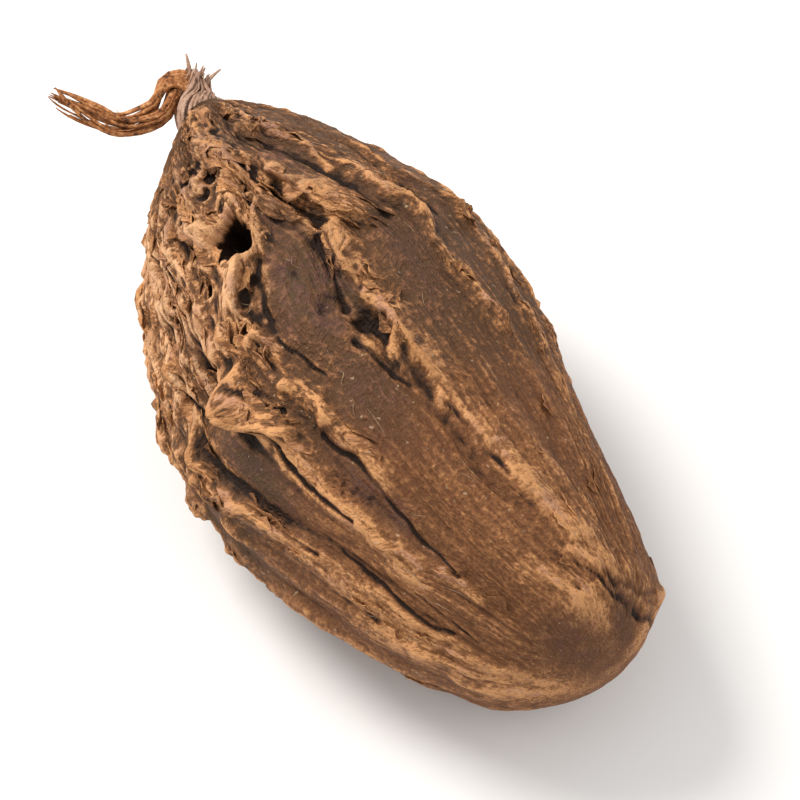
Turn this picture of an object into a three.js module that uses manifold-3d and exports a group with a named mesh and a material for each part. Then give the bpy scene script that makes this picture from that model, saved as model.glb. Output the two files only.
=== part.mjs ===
// A dried black cardamom pod lying on its side, in millimetres, with +Z up.
// The stalk end points to +X. The flower end points to -X and keeps its dry calyx: a short fibrous neck
// with a curled strand. The husk is one ridged solid that rests on a small flat spot under its belly,
// and the middle of that spot is the origin.
// Angles are in degrees and run round the pod's length: 0 is +Y, 90 is up, 180 is -Y and 270 is down.
import * as THREE from "three";
import { mergeVertices } from "three/addons/utils/BufferGeometryUtils.js";
import Module from "manifold-3d";

const wasm = await Module();
wasm.setup();

// Body of the husk
const apexX = -16.9; // flat seat of the calyx
const baseX = 15.9; // round stalk end
const capLength = 3.2; // how far the round end reaches back along the pod
const capPower = 2.6; // fullness of the round end, where 2 is an ellipse
const threeSided = 0.035; // how far the section leans to three corners, as a share of its radius
const cornerAngle = 107; // where one of those corners is
const floorZ = 0; // height of the flat spot that the pod rests on
const restSpot = { angle: 270, radius: 3, height: 0.5 }; // swelling there, which the floor cuts flat

// x, half width, half height, y of the middle, z of the middle
const sections = [
  [-16.9, 1.1, 1.1, 1.6, 8.0],
  [-15.2, 2.5, 2.5, 1.4, 8.0],
  [-12.6, 4.8, 4.7, 1.0, 7.8],
  [-9.0, 6.9, 6.6, 0.7, 7.5],
  [-5.0, 8.3, 7.3, 0.4, 7.4],
  [0.0, 8.4, 7.2, -0.1, 7.3],
  [5.0, 7.5, 6.6, -0.1, 6.9],
  [10.0, 6.1, 5.6, 0.4, 6.3],
  [14.0, 4.4, 4.1, 1.4, 5.9],
];

// Ridges that run from end to end: x, angle, height of the crest, and lean,
// which is 1 where the side towards larger angles is the steep one and -1 where the other side is.
const ridges = [
  [[-17, 20, 0.1, 0], [-8, 14, 0.3, 0], [0, 8, 0.35, 0], [8, 10, 0.2, 0], [16, 14, 0.1, 0]],
  [[-17, 50, 0.2, 0], [-10, 46, 0.2, 0], [-7.5, 42, 0.3, 0.5], [-6.3, 34, 0.3, 0.5], [-5, 28, 0.4, 0.3],
    [0, 24, 0.4, 0], [8, 26, 0.4, 0], [16, 34, 0.1, 0]],
  [[-17, 82, 0.2, 0], [-13, 82, 0.4, 0.6], [-10, 70, 0.5, 0.6], [-8, 62, 0.5, 0.6], [-6, 59, 0.6, 0.4],
    [-5, 54, 0.5, 0.2], [-2, 52, 0.4, 0], [0, 47, 0.4, 0], [3, 41, 0.3, 0], [7, 37, 0.3, 0],
    [12, 42, 0.2, 0], [16, 52, 0.1, 0]],
  [[-17, 98, 0.1, 0], [-13, 96, 0.1, 0], [-10, 91, 0.3, 1], [-8.5, 88, 0.6, 1], [-7, 84, 0.7, 1],
    [-5.5, 78, 0.5, 0.8], [-4.5, 73, 0.2, 0], [-2, 69, 0.1, 0], [2, 65, 0.1, 0], [7, 60, 0.3, 0],
    [11, 56, 0.3, 0], [16, 68, 0.1, 0]],
  [[-17, 118, 0.2, 0], [-14, 116, 0.4, 0], [-12, 106, 0.6, 0], [-10, 100, 0.6, 0.3], [-8, 98, 0.5, 0.3],
    [-6.5, 91, 0.4, 0.5], [-5.3, 86, 0.5, 0.5], [-4, 87, 0.6, 0.8], [-2, 87, 0.4, 0.8], [0, 82, 0.6, 0.8],
    [1.2, 82, 0.6, 1], [2.8, 82, 0.5, 1], [4.3, 79, 0.4, 1], [8, 78, 0.4, 0.8], [10, 72, 0.4, 0.5],
    [12, 71, 0.3, 0.3], [14, 72, 0.2, 0], [16, 84, 0.1, 0]],
  [[-17, 132, 0.1, 0], [-13, 121, 0.1, 0], [-10, 109, 0.2, 0], [-7.5, 106, 0.5, 0.5], [-6, 107, 0.3, 0],
    [-4, 104, 0, 0], [-1.6, 105, 0.1, 0], [2, 100, 0, 0], [9, 100, 0.1, 0], [12.5, 97, 0.3, 0],
    [14, 93, 0.3, 0], [16, 98, 0.1, 0]],
  [[-17, 145, 0.2, 0], [-13, 134, 0.3, 0], [-9.5, 125, 0.6, 0], [-8, 121, 0.5, 0], [-7, 119, 0.3, 0],
    [-6, 117, 0.8, -0.5], [-5.3, 120, 0.9, -0.8], [-4, 123, 0.7, -0.8], [-2, 121, 0.4, -0.5],
    [0, 118, 0.3, -0.5], [1.5, 115, 0.3, -0.3], [3.3, 114, 0.2, 0], [6, 111, 0.1, 0], [10, 110, 0, 0],
    [16, 112, 0.1, 0]],
  [[-17, 160, 0.2, 0], [-13, 148, 0.3, 0], [-9, 140, 0.4, 0], [-5, 136, 0.3, 0], [-2.5, 136, 0.8, 1],
    [-0.7, 138, 0.9, 1], [0.4, 136, 0.7, 1], [1.5, 132, 0.6, 0.3], [3, 131, 0.5, -0.6], [5, 132, 0.5, -1],
    [6.5, 130, 0.5, -1], [9.5, 129, 0.3, -0.8], [11, 126, 0.1, 0], [16, 128, 0.1, 0]],
  [[-17, 176, 0.2, 0], [-13, 165, 0.3, 0], [-9, 157, 0.4, 0], [-5.5, 158, 0.4, 0], [-3, 164, 0.4, -0.3],
    [-1.3, 171, 0.5, -0.5], [1.2, 168, 0.6, -0.6], [4, 161, 0.5, -0.8], [6, 156, 0.5, -1], [8, 154, 0.5, -1],
    [11.5, 154, 0.4, -0.8], [14, 156, 0.2, 0], [16, 158, 0.1, 0]],
  [[-17, 194, 0.2, 0], [-13, 184, 0.3, 0], [-9, 178, 0.5, 0], [-5, 180, 0.4, 0], [-1, 186, 0.3, 0],
    [3, 182, 0.3, 0], [8, 174, 0.3, -0.5], [12.7, 167, 0.4, -0.5], [16, 176, 0.1, 0]],
  [[-17, 210, 0.2, 0], [-9, 196, 0.5, 0], [0, 202, 0.6, 0], [3, 200, 0.7, 0], [6, 196, 0.8, 0],
    [9, 194, 0.4, 0], [16, 196, 0.1, 0]],
];
const underRidges = { count: 7, firstAngle: 220, step: 22, height: 0.6, sway: 4 }; // the side it lies on
const crestWidth = 0.65; // half width of a crest at a third of its height
const leanShare = 0.4; // how much a full lean narrows the steep side and widens the other
const furrow = { away: 0.95, width: 0.45, share: 0.5 }; // furrow at the foot of a steep side
const fadeLength = { apex: 1.6, base: 2.2, baseShare: 0.35 }; // where the relief dies out at the ends

// Single swellings, and hollows where the height is below zero: x, angle, radius, height
const spots = [
  [-9.5, 176, 0.8, 0.4], // nodule on the left shoulder
  [-7.3, 113.5, 0.8, -1.7], // deep hole
  [-1.6, 107, 1.3, 0.2], // low oval bump
  [0.9, 91, 0.6, 0.4], // lump beside the crown ridge
  [0.3, 8, 1.2, 0.2], // corner of the right outline
  [-3.3, 143, 0.8, -0.6], // ragged furrow, upper end
  [-2.0, 149, 0.9, -0.7], // ragged furrow, lower end
  [15.2, 335, 1.4, -0.7], // stalk scar
];

// Wrinkled net over the left shoulder
const crust = { height: 0.25, middleAngle: 150, halfAngle: 42, fromX: -14.5, toX: -1.5, edge: 3 };
const degreeLength = 0.14; // length of one degree round the belly

// Mesh of the husk
const rowStep = 0.72;
const capRows = 9;
const columnsPerRidge = 5;

// Dry calyx: x, y and z of the points that its paths pass through
const neck = { radius: 0.95, endRadius: 0.7, sides: 12, steps: 8, flute: 0.1 };
const neckPath = [[-17.2, 1.6, 8.0], [-17.7, 1.7, 8.0], [-18.3, 2.1, 8.2], [-18.7, 2.8, 8.5]];
const strand = {
  radius: 0.34, endRadius: 0.16, sides: 5, steps: 12, flute: 0, fibres: 3, turns: 0.8, spread: 0.26,
};
const strandPath = [[-18.2, 1.9, 8.2], [-18.6, 1.0, 8.6], [-18.0, -0.1, 8.2], [-18.4, -1.6, 7.9],
  [-19.4, -2.5, 8.0], [-20.6, -3.4, 8.4], [-21.4, -4.0, 8.9]];
const tooth = {
  radius: 0.3, endRadius: 0.1, sides: 5, steps: 4, flute: 0, count: 4, length: 1.3, spread: 0.5,
};

const { degToRad, lerp, smoothstep } = THREE.MathUtils;

// Reads one column of rows that start with x, on a smooth curve through them.
function readAlong(rows, column, x) {
  const last = rows.length - 1;
  const at = THREE.MathUtils.clamp(x, rows[0][0], rows[last][0]);
  let i = 0;
  while (i < last - 1 && at > rows[i + 1][0]) {
    i += 1;
  }
  const slopeAt = (k) => {
    const before = rows[Math.max(k - 1, 0)];
    const after = rows[Math.min(k + 1, last)];
    return (after[column] - before[column]) / (after[0] - before[0]);
  };
  const run = rows[i + 1][0] - rows[i][0];
  const t = (at - rows[i][0]) / run;
  const leaving = run * slopeAt(i) * t * (1 - t) ** 2;
  const arriving = run * slopeAt(i + 1) * t * t * (1 - t);
  const ease = t * t * (3 - 2 * t);
  return lerp(rows[i][column], rows[i + 1][column], ease) + leaving - arriving;
}

// The plain section at x, before any relief.
function sectionAt(x) {
  const reach = Math.max(0, x - (baseX - capLength)) / capLength;
  const round = Math.sqrt(Math.max(0, 1 - reach ** capPower));
  return {
    halfWidth: readAlong(sections, 1, x) * round,
    halfHeight: readAlong(sections, 2, x) * round,
    middleY: readAlong(sections, 3, x),
    middleZ: readAlong(sections, 4, x),
  };
}

// Every ridge at x, as angle, height and lean. Those below follow a rule: toothed wings that sway a little,
// strongest near the flower end and plain ribs near the stalk.
function ridgesAt(x) {
  const seen = ridges.map((rows) => ({
    angle: readAlong(rows, 1, x),
    height: readAlong(rows, 2, x),
    lean: readAlong(rows, 3, x),
  }));
  const under = Array.from({ length: underRidges.count }, (_, k) => {
    const phase = 2.4 * k;
    const sway = Math.sin(0.32 * x + phase) + 0.4 * Math.sin(1.1 * x + 2 * phase);
    const teeth = 0.75 + 0.3 * Math.sin(1.9 * x + phase) + 0.2 * Math.sin(3.1 * x + 3 * phase);
    const wing = lerp(1, 0.45, smoothstep(x, 0, 12));
    return {
      angle: underRidges.firstAngle + underRidges.step * k + underRidges.sway * sway,
      height: underRidges.height * teeth * wing,
      lean: 0.6 * Math.sin(0.5 * x + 2 * phase),
    };
  });
  return seen.concat(under);
}

// Length round the pod from one angle to another, with the sign of the shorter way.
function acrossFrom(from, angle, radius) {
  const turn = THREE.MathUtils.euclideanModulo(angle - from + 180, 360) - 180;
  return degToRad(turn) * radius;
}

const hill = (distance, width) => Math.exp(-((distance / width) ** 2));

// Height of one ridge at a distance across it.
function ridgeLift(ridge, across) {
  const width = crestWidth * (1 - leanShare * ridge.lean * Math.sign(across));
  const side = Math.sign(ridge.lean);
  const dip = furrow.share * Math.abs(ridge.lean) * hill(across - side * furrow.away, furrow.width);
  return ridge.height * (hill(across, width) - dip);
}

// Height of the wrinkled net.
function crustLift(x, angle) {
  const begun = smoothstep(x, crust.fromX, crust.fromX + crust.edge);
  const ended = smoothstep(x, crust.toX - crust.edge, crust.toX);
  const round = hill(angle - crust.middleAngle, crust.halfAngle);
  const s = angle * degreeLength;
  const net = Math.sin(1.9 * x + 1.1 * Math.sin(1.3 * s)) * Math.sin(2.3 * s + 1.2 * Math.sin(0.9 * x + 1));
  return crust.height * begun * (1 - ended) * round * net;
}

// All of the relief above the plain section.
function reliefAt(x, angle, radius, ridgesHere) {
  let lift = crustLift(x, angle);
  for (const ridge of ridgesHere) {
    lift += ridgeLift(ridge, acrossFrom(ridge.angle, angle, radius));
  }
  for (const [spotX, spotAngle, spotRadius, height] of spots) {
    const away = Math.hypot(x - spotX, acrossFrom(spotAngle, angle, radius));
    lift += height * hill(away, spotRadius);
  }
  const fromApex = smoothstep(x, apexX, apexX + fadeLength.apex);
  const fromBase = 1 - smoothstep(x, baseX - fadeLength.base, baseX);
  const faded = lift * fromApex * lerp(fadeLength.baseShare, 1, fromBase) * Math.min(1, radius);
  const pressed = hill(Math.hypot(x, acrossFrom(restSpot.angle, angle, radius)), restSpot.radius);
  return lerp(faded, restSpot.height, pressed);
}

// A point of the husk's surface, cut flat where it meets the floor.
function huskPoint(x, angle, ridgesHere) {
  const section = sectionAt(x);
  const radius = (section.halfWidth + section.halfHeight) / 2;
  const corners = 1 + threeSided * Math.cos(3 * degToRad(angle - cornerAngle));
  const lift = reliefAt(x, angle, radius, ridgesHere);
  const y = section.middleY + (section.halfWidth * corners + lift) * Math.cos(degToRad(angle));
  const z = section.middleZ + (section.halfHeight * corners + lift) * Math.sin(degToRad(angle));
  return [x, y, Math.max(z, floorZ)];
}

// Rows of the mesh: even steps along the pod, then closer ones round the stalk end.
function rowPositions() {
  const straight = baseX - capLength - apexX;
  const count = Math.round(straight / rowStep);
  const rows = Array.from({ length: count + 1 }, (_, i) => apexX + (straight * i) / count);
  for (let i = 1; i < capRows; i += 1) {
    rows.push(baseX - capLength + capLength * Math.sin((Math.PI / 2) * (i / capRows)));
  }
  return rows;
}

// A closed skin over rings of points, with a point to close each end. Each ring runs with the angles above.
function closedSkin(rings, firstPoint, lastPoint) {
  const size = rings[0].length;
  const points = [...rings.flat(), firstPoint, lastPoint];
  const first = points.length - 2;
  const last = points.length - 1;
  const faces = [];
  for (let j = 0; j < size; j += 1) {
    const next = (j + 1) % size;
    faces.push(first, next, j);
    for (let i = 0; i < rings.length - 1; i += 1) {
      const here = i * size;
      const there = here + size;
      faces.push(here + j, here + next, there + next);
      faces.push(here + j, there + next, there + j);
    }
    const end = (rings.length - 1) * size;
    faces.push(last, end + j, end + next);
  }
  const geometry = new THREE.BufferGeometry();
  geometry.setAttribute("position", new THREE.Float32BufferAttribute(points.flat(), 3));
  geometry.setIndex(faces);
  return geometry;
}

// Columns of the mesh follow the ridges, with the same number between each two.
function huskGeometry() {
  const rings = rowPositions().map((x) => {
    const ridgesHere = ridgesAt(x);
    return ridgesHere.flatMap((ridge, k) => {
      const after = k + 1 < ridgesHere.length ? ridgesHere[k + 1].angle : ridgesHere[0].angle + 360;
      return Array.from({ length: columnsPerRidge }, (_, c) => {
        const angle = lerp(ridge.angle, after, c / columnsPerRidge);
        return huskPoint(x, angle, ridgesHere);
      });
    });
  });
  const seat = sectionAt(apexX);
  const end = sectionAt(baseX);
  return closedSkin(rings, [apexX, seat.middleY, seat.middleZ], [baseX, end.middleY, end.middleZ]);
}

// A tapered round stem along a path, with flat ends and flutes where asked.
function stemGeometry(path, shape) {
  const curve = new THREE.CatmullRomCurve3(path.map((point) => new THREE.Vector3(...point)));
  const frames = curve.computeFrenetFrames(shape.steps, false);
  const rings = [];
  for (let i = 0; i <= shape.steps; i += 1) {
    const centre = curve.getPointAt(i / shape.steps);
    const taper = lerp(shape.radius, shape.endRadius, i / shape.steps);
    rings.push(Array.from({ length: shape.sides }, (_, j) => {
      const radius = taper * (1 + shape.flute * (j % 2 === 0 ? 1 : -1));
      const turn = (2 * Math.PI * j) / shape.sides;
      const point = centre.clone();
      point.addScaledVector(frames.normals[i], radius * Math.cos(turn));
      point.addScaledVector(frames.binormals[i], radius * Math.sin(turn));
      return point.toArray();
    }));
  }
  return closedSkin(rings, curve.getPointAt(0).toArray(), curve.getPointAt(1).toArray());
}

// The strand's fibres wind round its path.
function fibrePath(k) {
  const curve = new THREE.CatmullRomCurve3(strandPath.map((point) => new THREE.Vector3(...point)));
  return curve.getSpacedPoints(strand.steps).map((point, i) => {
    const turn = 2 * Math.PI * (k / strand.fibres + strand.turns * (i / strand.steps));
    return [point.x, point.y + strand.spread * Math.cos(turn), point.z + strand.spread * Math.sin(turn)];
  });
}

// Torn teeth that carry on from the neck's end and spread a little.
function toothPath(k) {
  const [tip, before] = [neckPath[neckPath.length - 1], neckPath[neckPath.length - 2]];
  const along = new THREE.Vector3(...tip).sub(new THREE.Vector3(...before)).normalize();
  const turn = 2 * Math.PI * ((k + 0.3) / tooth.count);
  const outward = new THREE.Vector3(Math.cos(turn), 0, Math.sin(turn)).multiplyScalar(tooth.spread);
  const root = new THREE.Vector3(...tip).addScaledVector(along, -0.5).addScaledVector(outward, 0.7);
  const middle = root.clone().addScaledVector(along, tooth.length * 0.6);
  const end = middle.clone().addScaledVector(along, tooth.length * (0.3 + 0.1 * k)).add(outward);
  return [root.toArray(), middle.toArray(), end.toArray()];
}

function solidOf(geometry) {
  const merged = mergeVertices(geometry);
  const vertProperties = new Float32Array(merged.attributes.position.array);
  const triVerts = new Uint32Array(merged.index.array);
  return new wasm.Manifold(new wasm.Mesh({ numProp: 3, vertProperties, triVerts }));
}

function geometryOf(solid) {
  const mesh = solid.getMesh();
  const geometry = new THREE.BufferGeometry();
  geometry.setAttribute("position", new THREE.BufferAttribute(mesh.vertProperties, 3));
  geometry.setIndex(new THREE.BufferAttribute(mesh.triVerts, 1));
  return geometry;
}

function calyxGeometry() {
  let whole = solidOf(stemGeometry(neckPath, neck));
  for (let k = 0; k < strand.fibres; k += 1) {
    whole = whole.add(solidOf(stemGeometry(fibrePath(k), strand)));
  }
  for (let k = 0; k < tooth.count; k += 1) {
    whole = whole.add(solidOf(stemGeometry(toothPath(k), tooth)));
  }
  return geometryOf(whole);
}

function pieceOf(name, geometry, color, roughness) {
  geometry.computeVertexNormals();
  const mesh = new THREE.Mesh(geometry, new THREE.MeshStandardMaterial({ color, roughness, metalness: 0 }));
  mesh.name = name;
  return mesh;
}

const pod = new THREE.Group();
pod.add(pieceOf("husk", huskGeometry(), "#7a553d", 0.8));
pod.add(pieceOf("calyx", calyxGeometry(), "#a9775a", 0.85));

export default pod;
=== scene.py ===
import math
import bmesh
import bpy
import numpy as np
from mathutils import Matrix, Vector


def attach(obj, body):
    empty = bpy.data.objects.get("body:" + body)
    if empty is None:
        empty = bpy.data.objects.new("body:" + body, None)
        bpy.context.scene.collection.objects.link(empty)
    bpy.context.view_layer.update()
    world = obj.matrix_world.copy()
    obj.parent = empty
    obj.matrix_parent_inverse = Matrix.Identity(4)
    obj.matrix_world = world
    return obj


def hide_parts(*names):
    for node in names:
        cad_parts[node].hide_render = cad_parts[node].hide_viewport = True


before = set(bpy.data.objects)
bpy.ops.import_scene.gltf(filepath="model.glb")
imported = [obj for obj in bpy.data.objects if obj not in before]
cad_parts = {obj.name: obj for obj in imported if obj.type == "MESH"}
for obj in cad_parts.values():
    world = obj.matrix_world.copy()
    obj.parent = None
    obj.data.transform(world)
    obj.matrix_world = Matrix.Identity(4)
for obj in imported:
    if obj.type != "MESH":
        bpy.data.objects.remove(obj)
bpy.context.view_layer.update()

# A dried black cardamom pod on its side. Tables are in millimetres and degrees, meshes in metres.
# Angles run round the pod's length: 0 is +Y, 90 is up, 180 is -Y and 270 is down.

mm = 0.001
print("frame loaded, nodes:", sorted(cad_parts))


# Camera, floor and light

cameraSetup = {
    "azimuth": 57, "elevation": 60,  # the photograph's viewing angle
    "aim": (-0.17, 1.45, 6.57),  # mm, middle of the picture
    "distance": 300,  # mm
    "fieldWidth": 35.6,  # mm across the picture at the aim
    "sensor": 36,
    "clip": (0.01, 20),  # metres
}
lightSetup = {
    "key": {"azimuth": -68, "elevation": 48, "distance": 260, "size": 130, "watts": 0.66,
            "colour": (1.0, 0.97, 0.93)},
    "fill": {"azimuth": 120, "elevation": 45, "distance": 300, "size": 260, "watts": 0.16,
             "colour": (1.0, 0.98, 0.96)},
    "sky": (1.0, 0.99, 0.98), "skyStrength": 0.75,
}
floorSetup = {"size": 6000, "colour": (0.87, 0.865, 0.86), "roughness": 0.7}


def directionOf(azimuth, elevation):
    a, e = math.radians(azimuth), math.radians(elevation)
    return Vector((math.sin(a) * math.cos(e), -math.cos(a) * math.cos(e), math.sin(e)))


def aimAt(thing, setup):
    back = directionOf(setup["azimuth"], setup["elevation"])
    thing.location = (Vector(cameraSetup["aim"]) + back * setup["distance"]) * mm
    thing.rotation_mode = "QUATERNION"
    thing.rotation_quaternion = (-back).to_track_quat("-Z", "Y")


def makeCamera():
    data = bpy.data.cameras.new("camera")
    data.sensor_width = cameraSetup["sensor"]
    data.lens = cameraSetup["sensor"] * cameraSetup["distance"] / cameraSetup["fieldWidth"]
    data.clip_start, data.clip_end = cameraSetup["clip"]
    camera = bpy.data.objects.new("camera", data)
    bpy.context.scene.collection.objects.link(camera)
    aimAt(camera, cameraSetup)
    bpy.context.scene.camera = camera


def makeLight(name):
    setup = lightSetup[name]
    data = bpy.data.lights.new(name, "AREA")
    data.shape = "DISK"
    data.size = setup["size"] * mm
    data.energy = setup["watts"]
    data.color = setup["colour"]
    light = bpy.data.objects.new(name, data)
    bpy.context.scene.collection.objects.link(light)
    aimAt(light, setup)


def makeSky():
    world = bpy.data.worlds.new("sky")
    world.use_nodes = True
    sky = world.node_tree.nodes["Background"]
    sky.inputs["Color"].default_value = (*lightSetup["sky"], 1)
    sky.inputs["Strength"].default_value = lightSetup["skyStrength"]
    bpy.context.scene.world = world
    bpy.context.scene.view_settings.view_transform = "Standard"


# Shader maths as Python expressions: a Wire is an output socket, and operators add Math nodes

class Wire:
    def __init__(self, graph, socket):
        self.graph = graph
        self.socket = socket

    def math(self, operation, first, second):
        return self.graph.node("ShaderNodeMath", {"operation": operation}, {0: first, 1: second})

    def __add__(self, other):
        return self.math("ADD", self, other)

    def __radd__(self, other):
        return self.math("ADD", other, self)

    def __sub__(self, other):
        return self.math("SUBTRACT", self, other)

    def __rsub__(self, other):
        return self.math("SUBTRACT", other, self)

    def __mul__(self, other):
        return self.math("MULTIPLY", self, other)

    def __rmul__(self, other):
        return self.math("MULTIPLY", other, self)


class Graph:
    def __init__(self, name):
        self.material = bpy.data.materials.new(name)
        self.material.use_nodes = True
        self.tree = self.material.node_tree
        self.shader = self.tree.nodes["Principled BSDF"]

    def node(self, kind, settings, values, output=0):
        made = self.tree.nodes.new(kind)
        for name, value in settings.items():
            setattr(made, name, value)
        for key, value in values.items():
            self.feed(made.inputs[key], value)
        return Wire(self, made.outputs[output])

    def feed(self, socket, value):
        if isinstance(value, Wire):
            self.tree.links.new(value.socket, socket)
        else:
            socket.default_value = value

    def attribute(self, name, output):
        return self.node("ShaderNodeAttribute", {"attribute_name": name}, {}, output)

    def stretched(self, vector, scale):
        return self.node("ShaderNodeVectorMath", {"operation": "MULTIPLY"}, {0: vector, 1: scale})

    def noise(self, vector, scale, detail, roughness=0.55):
        return self.node("ShaderNodeTexNoise", {}, {
            "Vector": vector, "Scale": scale, "Detail": detail, "Roughness": roughness})

    def band(self, value, low, high):  # 0 below low, 1 above high, smooth between
        return self.node("ShaderNodeMapRange", {"interpolation_type": "SMOOTHSTEP"}, {
            "Value": value, "From Min": low, "From Max": high, "To Min": 0.0, "To Max": 1.0})

    def mix(self, first, second, factor):
        return self.node("ShaderNodeMix", {"data_type": "RGBA"}, {
            0: factor, 6: self.colour(first), 7: self.colour(second)}, 2)

    def colour(self, value):
        return value if isinstance(value, Wire) else (*value, 1.0)

    def finish(self, colour, roughness, height, depth):
        self.feed(self.shader.inputs["Base Color"], colour)
        if roughness is not None:
            self.feed(self.shader.inputs["Roughness"], roughness)
        bump = self.node("ShaderNodeBump", {}, {"Strength": 1.0, "Distance": depth, "Height": height})
        self.feed(self.shader.inputs["Normal"], bump)
        return self.material


def makeFloor():
    floorMesh = bpy.data.meshes.new("floor")
    shape = bmesh.new()
    bmesh.ops.create_grid(shape, x_segments=2, y_segments=2, size=floorSetup["size"] * mm / 2)
    shape.to_mesh(floorMesh)
    shape.free()
    floor = bpy.data.objects.new("floor", floorMesh)
    bpy.context.scene.collection.objects.link(floor)
    graph = Graph("paleFloor")
    graph.shader.inputs["Base Color"].default_value = (*floorSetup["colour"], 1)
    graph.shader.inputs["Roughness"].default_value = floorSetup["roughness"]
    floorMesh.materials.append(graph.material)


makeCamera()
makeLight("key")
makeLight("fill")
makeSky()
makeFloor()
print("camera, light and floor made")


# Form of the husk, with the same sections, ridges and spots as its solid

huskForm = {
    "apexX": -16.9, "baseX": 15.9,
    "capLength": 3.2, "capPower": 2.6,  # round stalk end
    "threeSided": 0.035, "cornerAngle": 107,
    "floorZ": 0.0,
    "endRadius": 0.02,  # share of the cap where the skin is closed
    "leastRadius": 0.05,
    "fadeLength": {"apex": 1.6, "base": 2.2, "baseShare": 0.35},
}

# x, half width, half height, y of the middle, z of the middle
sections = [
    (-16.9, 1.1, 1.1, 1.6, 8.0),
    (-15.2, 2.5, 2.5, 1.4, 8.0),
    (-12.6, 4.8, 4.7, 1.0, 7.8),
    (-9.0, 6.9, 6.6, 0.7, 7.5),
    (-5.0, 8.3, 7.3, 0.4, 7.4),
    (0.0, 8.4, 7.2, -0.1, 7.3),
    (5.0, 7.5, 6.6, -0.1, 6.9),
    (10.0, 6.1, 5.6, 0.4, 6.3),
    (14.0, 4.4, 4.1, 1.4, 5.9),
    (15.9, 3.8, 3.6, 1.8, 5.8),  # carries the taper on round the stalk end
]

# x, angle, height of the crest, lean: 1 where the side towards larger angles is the steep one
ridges = [
    [(-17, 20, 0.1, 0), (-8, 14, 0.3, 0), (0, 8, 0.35, 0), (8, 10, 0.2, 0), (16, 14, 0.1, 0)],
    [(-17, 50, 0.2, 0), (-10, 46, 0.2, 0), (-7.5, 42, 0.3, 0.5), (-6.3, 34, 0.3, 0.5), (-5, 28, 0.4, 0.3),
     (0, 24, 0.4, 0), (8, 26, 0.4, 0), (16, 34, 0.1, 0)],
    [(-17, 82, 0.2, 0), (-13, 82, 0.4, 0.6), (-10, 70, 0.5, 0.6), (-8, 62, 0.5, 0.6), (-6, 59, 0.6, 0.4),
     (-5, 54, 0.5, 0.2), (-2, 52, 0.4, 0), (0, 47, 0.4, 0), (3, 41, 0.3, 0), (7, 37, 0.3, 0),
     (12, 42, 0.2, 0), (16, 52, 0.1, 0)],
    [(-17, 98, 0.1, 0), (-13, 96, 0.1, 0), (-10, 91, 0.3, 1), (-8.5, 88, 0.6, 1), (-7, 84, 0.7, 1),
     (-5.5, 78, 0.5, 0.8), (-4.5, 73, 0.2, 0), (-2, 69, 0.1, 0), (2, 65, 0.1, 0), (7, 60, 0.3, 0),
     (11, 56, 0.3, 0), (16, 68, 0.1, 0)],
    [(-17, 118, 0.2, 0), (-14, 116, 0.4, 0), (-12, 106, 0.6, 0), (-10, 100, 0.6, 0.3), (-8, 98, 0.5, 0.3),
     (-6.5, 91, 0.4, 0.5), (-5.3, 86, 0.5, 0.5), (-4, 87, 0.6, 0.8), (-2, 87, 0.4, 0.8), (0, 82, 0.6, 0.8),
     (1.2, 82, 0.6, 1), (2.8, 82, 0.5, 1), (4.3, 79, 0.4, 1), (8, 78, 0.4, 0.8), (10, 72, 0.4, 0.5),
     (12, 71, 0.3, 0.3), (14, 72, 0.2, 0), (16, 84, 0.1, 0)],
    [(-17, 132, 0.1, 0), (-13, 121, 0.1, 0), (-10, 109, 0.2, 0), (-7.5, 106, 0.5, 0.5), (-6, 107, 0.3, 0),
     (-4, 104, 0, 0), (-1.6, 105, 0.1, 0), (2, 100, 0, 0), (9, 100, 0.1, 0), (12.5, 97, 0.3, 0),
     (14, 93, 0.3, 0), (16, 98, 0.1, 0)],
    [(-17, 145, 0.2, 0), (-13, 134, 0.3, 0), (-9.5, 125, 0.6, 0), (-8, 121, 0.5, 0), (-7, 119, 0.3, 0),
     (-6, 117, 0.8, -0.5), (-5.3, 120, 0.9, -0.8), (-4, 123, 0.7, -0.8), (-2, 121, 0.4, -0.5),
     (0, 118, 0.3, -0.5), (1.5, 115, 0.3, -0.3), (3.3, 114, 0.2, 0), (6, 111, 0.1, 0), (10, 110, 0, 0),
     (16, 112, 0.1, 0)],
    [(-17, 160, 0.2, 0), (-13, 148, 0.3, 0), (-9, 140, 0.4, 0), (-5, 136, 0.3, 0), (-2.5, 136, 0.8, 1),
     (-0.7, 138, 0.9, 1), (0.4, 136, 0.7, 1), (1.5, 132, 0.6, 0.3), (3, 131, 0.5, -0.6), (5, 132, 0.5, -1),
     (6.5, 130, 0.5, -1), (9.5, 129, 0.3, -0.8), (11, 126, 0.1, 0), (16, 128, 0.1, 0)],
    [(-17, 176, 0.2, 0), (-13, 165, 0.3, 0), (-9, 157, 0.4, 0), (-5.5, 158, 0.4, 0), (-3, 164, 0.4, -0.3),
     (-1.3, 171, 0.5, -0.5), (1.2, 168, 0.6, -0.6), (4, 161, 0.5, -0.8), (6, 156, 0.5, -1), (8, 154, 0.5, -1),
     (11.5, 154, 0.4, -0.8), (14, 156, 0.2, 0), (16, 158, 0.1, 0)],
    [(-17, 194, 0.2, 0), (-13, 184, 0.3, 0), (-9, 178, 0.5, 0), (-5, 180, 0.4, 0), (-1, 186, 0.3, 0),
     (3, 182, 0.3, 0), (8, 174, 0.3, -0.5), (12.7, 167, 0.4, -0.5), (16, 176, 0.1, 0)],
    [(-17, 210, 0.2, 0), (-9, 196, 0.5, 0), (0, 202, 0.6, 0), (3, 200, 0.7, 0), (6, 196, 0.8, 0),
     (9, 194, 0.4, 0), (16, 196, 0.1, 0)],
]
underRidges = {"count": 7, "firstAngle": 220, "step": 22, "height": 0.6, "sway": 4}  # the side it lies on
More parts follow.
